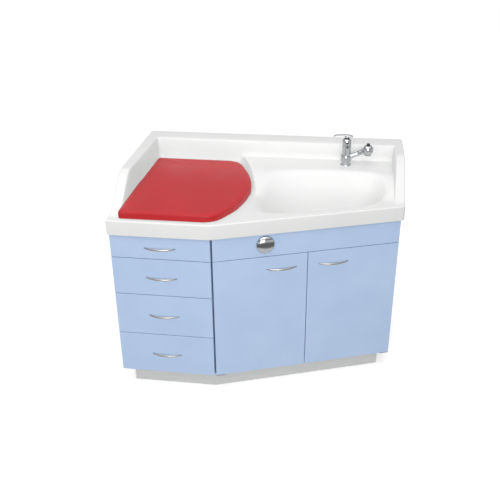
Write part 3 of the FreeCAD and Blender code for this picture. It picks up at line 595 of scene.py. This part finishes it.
def wall_lines(ledge, cove):
    """Distances in from the outer edge where a splash wall needs points."""
    lines = turn_in(OUTER_ROUND, 4) + [PLAN_ROUND, (PLAN_ROUND + ledge) / 2]
    lines += [ledge + EDGE_ROUND * math.sin(math.radians(a)) for a in (0, 22, 45, 66, 82)]
    foot = ledge + EDGE_ROUND + DRAFT
    lines += [foot - DRAFT / 2]
    lines += [foot + cove * (1 - math.cos(math.radians(a))) for a in range(0, 90, 11)]
    return lines


def fill(start, end, pitch):
    """Even steps between two distances, both left out."""
    count = max(1, round((end - start) / pitch))
    return list(np.linspace(start, end, count + 1)[1:-1])


left_lines = wall_lines(SIDE_LEDGE, WIDE_COVE)
right_lines = wall_lines(RIGHT_LEDGE, TIGHT_COVE)
span = 2 * HALF
columns = left_lines + fill(left_lines[-1], span - right_lines[-1], 6.4 * MM)
columns += [span - d for d in reversed(right_lines)]
columns = np.array(columns) - HALF

front_lines = turn_in(OUTER_ROUND, 4) + [PLAN_ROUND]
back_lines = wall_lines(BACK_LEDGE, WIDE_COVE)
middle = np.linspace(0, 1, 96)[1:-1]
row_count = len(front_lines) + len(middle) + len(back_lines)
print("columns %d, rows %d" % (len(columns), row_count))


# %% The sheet
bpy.ops.object.select_all(action="DESELECT")
bpy.ops.mesh.primitive_grid_add(x_subdivisions=len(columns) - 1, y_subdivisions=row_count - 1,
                                size=1)
top = named("moulded_top")
x = np.repeat(columns[None, :], row_count, 0)
front = front_line(x[0])
near = front[None, :] + np.array(front_lines)[:, None]
far = WALL_Y - np.array(back_lines[::-1])[:, None] + 0 * front[None, :]
between = near[-1] + middle[:, None] * (far[0] - near[-1])
y = np.concatenate([near, between, far])
inward = x + HALF
x = x + flare(y) * ease((inward - 12 * MM) / (26 * MM)) * (1 - ease((inward - 0.12) / 0.15))
edge_gap = np.minimum(np.minimum(x + HALF, HALF - x), np.minimum(y - front, WALL_Y - y))
edge_gap = np.clip(edge_gap, 0, OUTER_ROUND)
z = top_height(x, y)
z -= OUTER_ROUND - np.sqrt(OUTER_ROUND ** 2 - (OUTER_ROUND - edge_gap) ** 2)
for end_x in (-1, 1):
    for end_y in (0, 1):
        corner_x = end_x * (HALF - PLAN_ROUND)
        corner_y = WALL_Y - PLAN_ROUND if end_y else front + PLAN_ROUND
        out_x = (x - corner_x) * end_x
        out_y = (y - corner_y) if end_y else (corner_y - y)
        inside = (out_x > 0) & (out_y > 0)
        size = np.hypot(out_x, out_y)
        pull = np.where(inside, np.maximum(out_x, out_y) / np.maximum(size, 1e-9), 1)
        x = np.where(inside, corner_x + end_x * out_x * pull, x)
        y = np.where(inside, corner_y + (1 if end_y else -1) * out_y * pull, y)
top.data.vertices.foreach_set("co", np.stack([x, y, z], -1).astype(np.float32).ravel())
top.data.update()
print("sheet points:", len(top.data.vertices), "lowest %.0f mm" % (z.min() / MM))

# %% [markdown]
# The rim is the sheet's border carried straight down. The border edges are
# selected, extruded, and the new points set to the rim's foot. A hole is left
# for the waste under its flange, and Solidify gives the moulding its wall.

# %% Rim, waste hole and thickness
mesh = edit(top, "EDGE")
pick(mesh, mesh.edges, lambda e: e.is_boundary)
bpy.ops.mesh.extrude_edges_move(TRANSFORM_OT_translate={"value": (0, 0, -20 * MM)})
for point in mesh.verts:
    if point.select:
        point.co.z = RIM_FOOT
bmesh.update_edit_mesh(top.data)
waste_low, waste_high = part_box("waste_flange")
waste_at = (waste_low + waste_high) / 2
pick(mesh, mesh.faces, lambda f: (f.calc_center_median() - waste_at).xy.length < 20 * MM)
bmesh.update_edit_mesh(top.data)
bpy.ops.mesh.delete(type="FACE")
bpy.ops.object.mode_set(mode="OBJECT")
if sum(f.normal.z for f in top.data.polygons) < 0:
    top.data.flip_normals()
finish_modifier(top, "SOLIDIFY", thickness=6 * MM, offset=-1, use_even_offset=False)
smooth(top, 40)
wear(top, "white_composite")
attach(top, "cabinet")
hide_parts("worktop")
print("top triangles:", sum(len(f.vertices) - 2 for f in top.data.polygons))

# %% [markdown]
# ## Sweeping a ring
# Handles, tap, lever and knob are all made by one move: a ring of points is
# extruded again and again, and each new ring is put where it belongs, wider or
# narrower, turned or flattened. A turned part is the same move with round rings
# on one axis. So one helper serves for all of them.


# %% The ring helper
def swept(name, stations, sides=24, caps=True):
    """Extrude a ring through stations of centre, half-width vector and half-height vector."""
    bpy.ops.object.select_all(action="DESELECT")
    bpy.ops.mesh.primitive_circle_add(vertices=sides, radius=1)
    piece = named(name)
    mesh = edit(piece, "VERT")
    bpy.ops.mesh.select_all(action="SELECT")
    centre, wide, tall = Vector((0, 0, 0)), Vector((1, 0, 0)), Vector((0, 1, 0))
    for number, (next_centre, next_wide, next_tall) in enumerate(stations):
        next_centre, next_wide, next_tall = map(Vector, (next_centre, next_wide, next_tall))
        if number:
            bpy.ops.mesh.extrude_region_move()
        mesh = bmesh.from_edit_mesh(piece.data)
        for point in mesh.verts:
            if point.select:
                out = point.co - centre
                across = out.dot(wide) / wide.length_squared
                along = out.dot(tall) / tall.length_squared
                point.co = next_centre + across * next_wide + along * next_tall
        bmesh.update_edit_mesh(piece.data)
        centre, wide, tall = next_centre, next_wide, next_tall
    if caps:
        mesh = edit(piece, "EDGE")
        pick(mesh, mesh.edges, lambda e: e.is_boundary)
        bmesh.update_edit_mesh(piece.data)
        bpy.ops.mesh.edge_face_add()
        bpy.ops.object.mode_set(mode="OBJECT")
    return outward(piece)


def turned(name, foot, axis, profile, sides=48):
    """A part turned on an axis: its profile lists distance along it and radius."""
    axis = Vector(axis).normalized()
    wide = axis.orthogonal().normalized()
    tall = axis.cross(wide)
    stations = [(Vector(foot) + axis * d * MM, wide * r * MM, tall * r * MM) for d, r in profile]
    return smooth(swept(name, stations, sides), 40)


def take_over(piece, body, slot_name, *replaced):
    """Give a new piece its finish, its body and the CAD nodes it stands for."""
    wear(piece, slot_name)
    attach(piece, body)
    if replaced:
        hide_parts(*replaced)
    return piece


def middle_of(node):
    """The centre of a CAD node's box."""
    low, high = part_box(node)
    return (low + high) / 2


# %% [markdown]
# ## Bow handles
# A bow handle of this kind is cast in zinc and satin plated. Seen from the
# front it is a crescent: deepest in the middle and drawn out to two thin ends
# that curve back to the board. One is modelled on its own axes, and each
# drawer and door gets a copy with its own mesh, turned with its front.

# %% One handle, six copies
SPAN = 145.6 * MM
RISE = 25 * MM
bow = []
for step in range(-12, 13):
    t = step / 12
    out = RISE - 3.0 * MM - (RISE - 4.5 * MM) * abs(t) ** 2.2
    lean = math.atan(2.2 * (RISE - 4.5 * MM) * abs(t) ** 1.2 / (SPAN / 2)) * (1 if t > 0 else -1)
    height = (1.8 + 3.2 * (1 - t * t) ** 0.7) * MM
    depth = (1.4 + 1.5 * (1 - t * t)) * MM
    bow.append(((t * SPAN / 2, -out, 0),
                (-math.sin(lean) * depth, -math.cos(lean) * depth, 0), (0, 0, height)))
handle = smooth(swept("bow_handle", bow, 20), 50)
for side_x in (-1, 1):
    foot = turned("handle_foot", (side_x * (SPAN / 2 - 7 * MM), 0, 0), (0, -1, 0),
                  [(0, 3.2), (2.0, 3.2), (4.0, 2.4), (7.5, 2.0)], 16)
    handle.select_set(True)
    bpy.context.view_layer.objects.active = handle
    bpy.ops.object.join()
for holder in ["drawer_1", "drawer_2", "drawer_3", "drawer_4", "door_left", "door_right"]:
    node = holder + "_handle"
    turn = TURN if holder.startswith("door") else 0
    low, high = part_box(node)
    copy = handle.copy()
    copy.data = handle.data.copy()
    copy.name = copy.data.name = holder + "_bow"
    bpy.context.scene.collection.objects.link(copy)
    reach = Vector((math.sin(turn), -math.cos(turn), 0))
    board_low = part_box(holder + "_front" if turn == 0 else holder)[0]
    centre = (low + high) / 2
    if turn == 0:
        centre.y = board_low.y
    else:
        along = Vector((math.cos(turn), math.sin(turn), 0))
        corner = Vector((board_low.x, board_low.y, 0))
        near = Vector((centre.x - corner.x, centre.y - corner.y, 0))
        centre = corner + along * near.dot(along)
        centre = Vector((centre.x, centre.y, (low.z + high.z) / 2))
    copy.data.transform(Matrix.Translation(centre) @ Matrix.Rotation(turn, 4, "Z"))
    take_over(copy, holder, "satin_steel", node)
bpy.data.objects.remove(handle)
print("handles: 6")

# %% [markdown]
# ## Bath knob
# The knob is a shallow chrome dome with a rolled edge. It is turned on the
# axis that stands out of the angled fascia.

# %% Knob
OUT = Vector((math.sin(TURN), -math.cos(TURN), 0))
knob_face = Vector((40.7, -320.4, 779.0)) * MM
KNOB_RADIUS = 43
KNOB_CROWN = 19.3
knob = turned("waste_knob_dome", knob_face, OUT,
              [(-34, 6), (2.9, 6), (3, KNOB_RADIUS - 5), (3.2, KNOB_RADIUS - 1.5),
               (4.4, KNOB_RADIUS), (6, KNOB_RADIUS)] +
              [(5.6 + KNOB_CROWN * math.sin(math.radians(a)),
                KNOB_RADIUS * math.cos(math.radians(a)) ** 0.9)
               for a in range(8, 88, 8)] + [(24.9, 1.2)], 64)
take_over(knob, "waste_knob", "chrome", "waste_knob")

# %% [markdown]
# ## Tap
# A single-lever mixer: a flared foot, a slightly waisted column, a collar that
# turns with the arm, the arm with its pull-out head, and a lever plate that
# hooks down at its free end. The lever's root stands in a well in the hub and
# the button in a well in the head, so that both have room to move.

# %% Tap pieces
tap_axis = middle_of("tap_base")
deck_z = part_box("tap_base")[0].z
tap_foot = Vector((tap_axis.x, tap_axis.y, deck_z))
UPWARD = (0, 0, 1)
base = turned("tap_foot_ring", tap_foot, UPWARD,
              [(0, 16), (0, 27), (2.5, 27), (4.2, 26.2), (5.6, 24.2), (6, 22.4), (6, 16)])
take_over(base, "cabinet", "chrome", "tap_base")
column = turned("tap_column_body", tap_foot, UPWARD,
                [(-60, 15.9), (6, 15.9), (6, 22), (9, 22), (22, 21.6), (50, 21.2), (80, 21.2),
                 (98, 21.8), (103, 21.6), (104, 20.5)])
take_over(column, "cabinet", "chrome", "tap_column")
hub = turned("tap_hub_cap", tap_foot, UPWARD,
             [(104.3, 20.2), (105, 21.6), (107, 22), (120, 22), (126, 21.2), (130.5, 18.8),
              (133, 15.6), (133.8, 14.8), (133.4, 14), (112.2, 14)])
take_over(hub, "tap_hub", "chrome", "tap_hub")
plate = []
for x, z, wide, tall in ((-66.6, 142.2, 5.5, 1.4), (-65, 144.6, 7.4, 2.4), (-61, 147.4, 9.0, 3.0),
                         (-52, 149.6, 10.4, 3.2), (-36, 150.9, 11.4, 3.4), (-16, 151.0, 12.0, 4.0),
                         (2, 150.2, 12.0, 4.8), (16, 148.6, 12.0, 5.4), (24, 147.2, 11.0, 4.8),
                         (27.6, 146.0, 9.0, 3.0)):
    plate.append((tap_foot + Vector((x, 0, z)) * MM, (0, wide * MM, 0), (0, 0, tall * MM)))
lever = smooth(swept("tap_lever_plate", plate, 24), 40)
neck = turned("lever_root", tap_foot, UPWARD,
              [(118, 6.9), (134.6, 6.9), (137, 9), (141, 12), (146, 12.5), (149, 11)])
lever.select_set(True)
bpy.context.view_layer.objects.active = lever
bpy.ops.object.join()
take_over(lever, "tap_lever", "chrome", "tap_lever")

# %% Arm and hand shower
face_low, face_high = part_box("spray_face")
ball_at = Vector(((face_low.x + face_high.x) / 2, tap_foot.y, face_low.z + 26.5 * MM))
root_at = tap_foot + Vector((0, 0, 36 * MM))
ARM = (ball_at - root_at).normalized()
collar = turned("arm_collar_ring", tap_foot, UPWARD,
                [(22, 22.1), (22, 25), (23.5, 26), (48.5, 26), (50, 25), (50, 22.1)])
arm = turned("arm_tube", root_at, ARM,
             [(18, 12.4), (26, 12.8), (34, 12.4), (44, 11.8), (56, 11.6), (61, 12), (62, 11.4),
              (62, 8.1)])
collar.select_set(True)
bpy.context.view_layer.objects.active = collar
bpy.ops.object.join()
take_over(collar, "spout", "chrome", "spout_arm")
reach = (ball_at - root_at).length / MM
head = turned("hand_shower_neck", root_at, ARM,
              [(30, 7.9), (62.4, 7.9), (62.4, 11.4), (63.5, 12), (74, 12.4), (84, 13.6),
               (92, 15.6), (reach - 8, 17)])
shell = turned("hand_shower_ball", ball_at, UPWARD,
               [(-23.6, 17), (-23.6, 18.4)] +
               [(26 * math.sin(math.radians(a)), 26 * math.cos(math.radians(a)))
                for a in range(-44, 60, 8)] +
               [(22, 12.6), (22.4, 8.1), (13.9, 8.1), (13.9, 2)])
head.select_set(True)
bpy.context.view_layer.objects.active = head
bpy.ops.object.join()
take_over(head, "shower", "chrome", "hand_shower")
print("tap done, shower ball at", [round(v / MM) for v in ball_at])

# %% [markdown]
# Polished metal throws small hot spots of lamp light on what stands round it.
# They are too small and too bright to come out clean, so diffuse surfaces are
# told not to look at the bright metal, and mirrors still show it.

# %% No hot spots from bright metal
bright = (finishes["chrome"], finishes["satin_steel"])
for piece in bpy.data.objects:
    if piece.type == "MESH" and piece.data.materials and piece.data.materials[0] in bright:
        piece.visible_diffuse = False

# %% [markdown]
# ## The mat
# The mat is a foam slab in a vinyl cover. The cover is welded a little tight,
# so the foam swells against it: the top crowns gently, the sides pull in
# between the corners, and the top edge rolls over. The swelling is simulated:
# a slightly smaller copy of the slab is remeshed to even quads, blown up as
# cloth by a light pressure, and no point may travel more than a few
# millimetres. Creases and the weld seams are added afterwards, because a
# remesh would wipe them out.

# %% Mat slab
mat_node = nodes["mat"]
mat_low, mat_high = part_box("mat")
mat_mid = (mat_low + mat_high) / 2
rim_points = [v.co.copy() for v in mat_node.data.vertices if v.co.z > mat_high.z - 1 * MM]
rim_points.sort(key=lambda p: math.atan2(p.y - mat_mid.y, p.x - mat_mid.x))
outline = [rim_points[0]]
for point in rim_points[1:]:
    if (point - outline[-1]).length > 3 * MM:
        outline.append(point)
pad = mat_node.copy()
pad.data = mat_node.data.copy()
pad.name = pad.data.name = "changing_mat"
bpy.context.scene.collection.objects.link(pad)
for key in list(pad.keys()):
    del pad[key]
shrink = Matrix.Diagonal((0.985, 0.985, 0.86, 1))
pad.data.transform(Matrix.Translation(mat_mid) @ shrink @ Matrix.Translation(-mat_mid))
settle(pad)
finish_modifier(pad, "REMESH", mode="VOXEL", voxel_size=6.4 * MM)
print("mat points:", len(pad.data.vertices))


# %% Swelling
def swell(piece, pressure, frames, cap):
    """Blow a piece up as cloth, limit how far each point goes, and apply it."""
    before = [v.co.copy() for v in piece.data.vertices]
    alone(piece)
    cloth = piece.modifiers.new("Cloth", "CLOTH")
    cloth.settings.use_pressure = True
    cloth.settings.uniform_pressure_force = pressure
    cloth.settings.effector_weights.gravity = 0
    cloth.settings.quality = 5
    cloth.settings.mass = 0.3
    cloth.settings.tension_stiffness = 25
    cloth.settings.compression_stiffness = 25
    cloth.settings.bending_stiffness = 1.5
    cloth.point_cache.frame_end = frames
    scene = bpy.context.scene
    for frame_number in range(1, frames + 1):
        scene.frame_set(frame_number)
    bpy.ops.object.modifier_apply(modifier=cloth.name)
    scene.frame_set(1)
    for point, old in zip(piece.data.vertices, before):
        step = point.co - old
        if step.length > cap:
            point.co = old + step.normalized() * cap


swell(pad, 3.0, 16, 6 * MM)
finish_modifier(pad, "SUBSURF", levels=1)

# %% [markdown]
# After the swelling the underside is pressed flat again, because the mat lies
# on the top, and the edges are drawn out a little, because the welds hold them.
# A broad shallow dent marks where babies lie, and a few soft creases run in
# from the back left corner, where the cover is slack.

# %% Dent and creases
def stretch(values, low, high):
    """Carry a run of values to its full length, a hair inside both ends."""
    share = (values - values.min()) / (values.max() - values.min())
    return low + 0.3 * MM + share * (high - low - 0.6 * MM)


CREASES = [((-575, 262), (-430, 190), 16, 1.5), ((-540, 286), (-380, 236), 14, 1.2),
           ((-583, 190), (-500, 110), 15, 1.1), ((-300, 268), (-180, 206), 18, 0.9)]
count = len(pad.data.vertices)
points = np.empty(count * 3, np.float32)
pad.data.vertices.foreach_get("co", points)
points = points.reshape(-1, 3).astype(float)
px, py, pz = points.T
topness = ease((pz - mat_low.z) / (mat_high.z - mat_low.z) * 2 - 1)
spread = np.exp(-((px - mat_mid.x) / 0.2) ** 2 - ((py - mat_mid.y) / 0.26) ** 2)
down = 1.2 * MM * spread
for (ax, ay), (bx, by), width, deep in CREASES:
    run = np.array((bx - ax, by - ay)) * MM
    t = np.clip(((px - ax * MM) * run[0] + (py - ay * MM) * run[1]) / float(run @ run), 0, 1)
    gap = np.hypot(px - ax * MM - t * run[0], py - ay * MM - t * run[1]) / (width * MM)
    fade = np.sin(np.pi * np.clip(t * 0.9 + 0.05, 0, 1))
    down = down + deep * MM * fade * (np.exp(-gap ** 2 * 4) - 0.45 * np.exp(-(gap - 1) ** 2 * 5))
pz = pz - down * topness
share = (pz - pz.min()) / (pz.max() - pz.min()) * 2 - 1
share = np.sign(share) * np.abs(share) ** 0.65
pz = mat_low.z + (share + 1) / 2 * (mat_high.z - mat_low.z - 0.4 * MM)
points[:, 0] = stretch(px, mat_low.x, mat_high.x)
points[:, 1] = stretch(py, mat_low.y, mat_high.y)
points[:, 2] = pz
pad.data.vertices.foreach_set("co", points.astype(np.float32).ravel())
pad.data.update()
bpy.ops.object.select_all(action="DESELECT")
smooth(pad, 60)
take_over(pad, "mat", "red_vinyl", "mat")
pad.visible_diffuse = False
pad.visible_glossy = False

# %% [markdown]
# The cover is welded from a top, a bottom and a side band. Each weld stands up
# as a thin welt, so two welts run round the mat: one at the top edge and one
# low on the side. Their place is found by shooting rays at the swollen side
# from all round, so the welts lie on it wherever it bulges.


# %% Welts
def welt(name, level, radius):
    """A thin closed welt that lies on the mat's side at one height."""
    line_points = []
    for point in outline:
        inward = Vector((mat_mid.x - point.x, mat_mid.y - point.y, 0)).normalized()
        start = Vector((point.x, point.y, level)) - inward * 30 * MM
        hit = pad_surface.ray_cast(start, inward)[0]
        if hit:
            line_points.append(hit - inward * 0.2 * radius)
    curve = bpy.data.curves.new(name, "CURVE")
    curve.dimensions = "3D"
    curve.bevel_depth = radius
    curve.bevel_resolution = 2
    line = curve.splines.new("POLY")
    line.points.add(len(line_points) - 1)
    line.use_cyclic_u = True
    for spot, place in zip(line.points, line_points):
        spot.co = (*place, 1)
    piece = bpy.data.objects.new(name, curve)
    bpy.context.scene.collection.objects.link(piece)
    alone(piece)
    bpy.ops.object.convert(target="MESH")
    piece = bpy.context.object
    smooth(piece, 60)
    piece.visible_diffuse = False
    piece.visible_glossy = False
    return take_over(piece, "mat", "red_vinyl")


pad_surface = BVHTree.FromObject(pad, bpy.context.evaluated_depsgraph_get())
welt("mat_welt_top", mat_high.z - 5 * MM, 1.5 * MM)
welt("mat_welt_low", mat_low.z + 6 * MM, 1.3 * MM)
print("mat triangles:", sum(len(f.vertices) - 2 for f in pad.data.polygons))

# %% [markdown]
# ## Stage, light and camera
# The table stands on a plain pale floor. The light is that of a studio: a
# broad overhead bank, one large soft box in front, and a dim grey room, so
# that the white moulding keeps its shading and the chrome has something dark
# to reflect.


# %% Floor
bpy.ops.object.select_all(action="DESELECT")
bpy.ops.mesh.primitive_plane_add(size=60, location=(0, 0, -0.0005))
floor = named("floor")
settle(floor)
paper, _, paper_shader, _ = start_finish("studio_paper", Roughness=0.9)
paper_shader.inputs["Base Color"].default_value = linear("#F7F7F7")
paper_shader.inputs["Emission Color"].default_value = linear("#FFFFFF")
paper_shader.inputs["Emission Strength"].default_value = 0.3
floor.data.materials.append(paper)
floor.visible_diffuse = False
floor.visible_glossy = False


# %% Lights
def soft_box(name, place, target, width, height, power):
    light = bpy.data.lights.new(name, "AREA")
    light.shape = "RECTANGLE"
    light.size = width
    light.size_y = height
    light.energy = power
    lamp = bpy.data.objects.new(name, light)
    bpy.context.scene.collection.objects.link(lamp)
    lamp.location = place
    lamp.rotation_mode = "QUATERNION"
    lamp.rotation_quaternion = (Vector(target) - Vector(place)).to_track_quat("-Z", "Y")
    return lamp


soft_box("overhead_bank", (-0.4, -1.6, 4.2), (0, 0, 0.9), 4.0, 3.0, 48)
soft_box("front_box", (0.3, -4.9, 1.9), (0, 0, 0.6), 3.2, 2.2, 97)

world = bpy.data.worlds.new("studio_room")
bpy.context.scene.world = world
world.use_nodes = True
room = world.node_tree.nodes["Background"]
room_tree = world.node_tree
aim = add(room_tree, "ShaderNodeTexCoord").outputs["Generated"]
height = add(room_tree, "ShaderNodeSeparateXYZ", links={"Vector": aim}).outputs["Z"]
level = add(room_tree, "ShaderNodeMapRange", {"From Min": -1.0, "From Max": 1.0},
            {"Value": height}).outputs["Result"]
walls = add(room_tree, "ShaderNodeValToRGB", links={"Fac": level})
ROOM = ((0.0, 0.9), (0.17, 0.85), (0.23, 0.22), (0.4, 0.2), (0.48, 0.5), (0.53, 0.9),
        (0.6, 0.75), (0.66, 0.3), (0.74, 0.35), (0.82, 1.0))
for stop, (spot, light) in enumerate(ROOM):
    if stop > 1:
        walls.color_ramp.elements.new(spot)
    walls.color_ramp.elements[stop].position = spot
    walls.color_ramp.elements[stop].color = grey(light)
room_tree.links.new(walls.outputs["Color"], room.inputs["Color"])
room.inputs["Strength"].default_value = 0.94
bpy.context.scene.view_settings.view_transform = "Standard"
bpy.context.scene.view_settings.look = "None"

# %% [markdown]
# The camera stands a little right of the table's middle, above a grown
# person's eyes, and looks down at it through a slightly long lens.


# %% Camera
def aim_camera():
    view = bpy.data.cameras.new("camera")
    view.sensor_width = 36
    view.lens = 50.85
    view.clip_end = 100
    view.shift_x = 0.0069
    view.shift_y = 0.0056
    camera = bpy.data.objects.new("camera", view)
    bpy.context.scene.collection.objects.link(camera)
    yaw, pitch, roll = math.radians(-8.20), math.radians(-27.55), math.radians(-0.59)
    ahead = Vector((math.sin(yaw) * math.cos(pitch), math.cos(yaw) * math.cos(pitch),
                    math.sin(pitch)))
    side = Vector((math.cos(yaw), -math.sin(yaw), 0))
    upward = side.cross(ahead)
    right = side * math.cos(roll) + upward * math.sin(roll)
    above = upward * math.cos(roll) - side * math.sin(roll)
    turn = Matrix((right, above, -ahead)).transposed()
    camera.rotation_mode = "QUATERNION"
    camera.rotation_quaternion = turn.to_quaternion()
    camera.location = (0.3589, -3.1121, 2.2017)
    bpy.context.scene.camera = camera


aim_camera()
